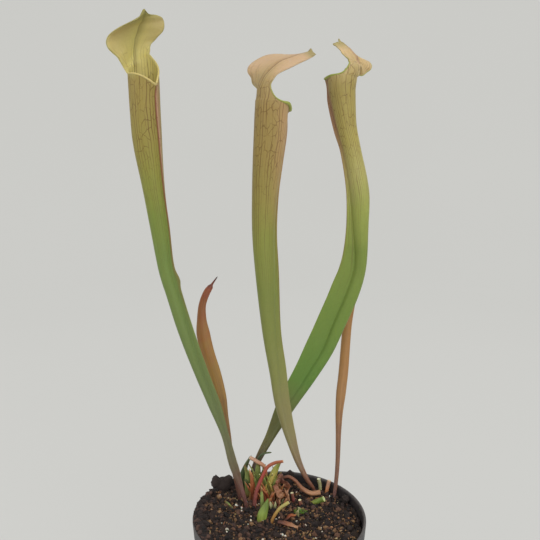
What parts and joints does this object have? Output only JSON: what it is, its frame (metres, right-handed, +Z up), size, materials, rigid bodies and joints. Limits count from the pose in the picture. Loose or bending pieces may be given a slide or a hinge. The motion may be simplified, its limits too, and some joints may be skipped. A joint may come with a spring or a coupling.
{
  "type": "potted sweet pitcher plant",
  "caption": "Young trumpet pitcher plant with tall hooded tube leaves, cut stubs and dry leaves, growing in peat soil in a round tapered nursery pot.",
  "frame": {"origin": "centre of the pot's flat base", "axes": "+Z up the plant, -Y towards the viewer of the picture, +X to the picture's right"},
  "size_m": [0.1295, 0.1005, 0.33],
  "materials": {
    "pot_plastic": "satin",
    "peat_soil": "matte",
    "rhizome_bark": "matte",
    "pitcher_leaf": "satin",
    "young_leaf": "satin",
    "tan_leaf": "satin",
    "red_stalk": "satin",
    "orange_stalk": "matte",
    "green_base": "satin",
    "dark_base": "satin",
    "yellow_stalk": "satin",
    "dry_leaf": "matte"
  },
  "bodies": {
    "root": {"pot": "pot_plastic", "soil": "peat_soil", "rhizome": "rhizome_bark", "pitcher_left": "pitcher_leaf", "pitcher_middle": "pitcher_leaf", "pitcher_right": "pitcher_leaf", "young_pitcher": "young_leaf", "tan_pitcher": "tan_leaf", "red_stub": "red_stalk", "orange_stub": "orange_stalk", "back_leaf_base": "dark_base", "left_leaf_base": "green_base", "rust_leaf_base": "red_stalk", "middle_leaf_base": "green_base", "right_leaf_base": "green_base", "hooked_leaf_base": "dark_base", "juvenile_pitcher": "green_base", "thin_shoot": "green_base", "yellow_stub": "yellow_stalk", "dry_petiole": "dry_leaf", "pale_stub": "yellow_stalk", "orange_cut_stub": "orange_stalk", "ring_stub": "green_base", "small_stub_left": "red_stalk", "small_stub_right": "red_stalk", "rust_scrap": "dry_leaf", "green_scrap": "green_base", "dead_leaf": "dry_leaf"}
  },
  "joints": []
}
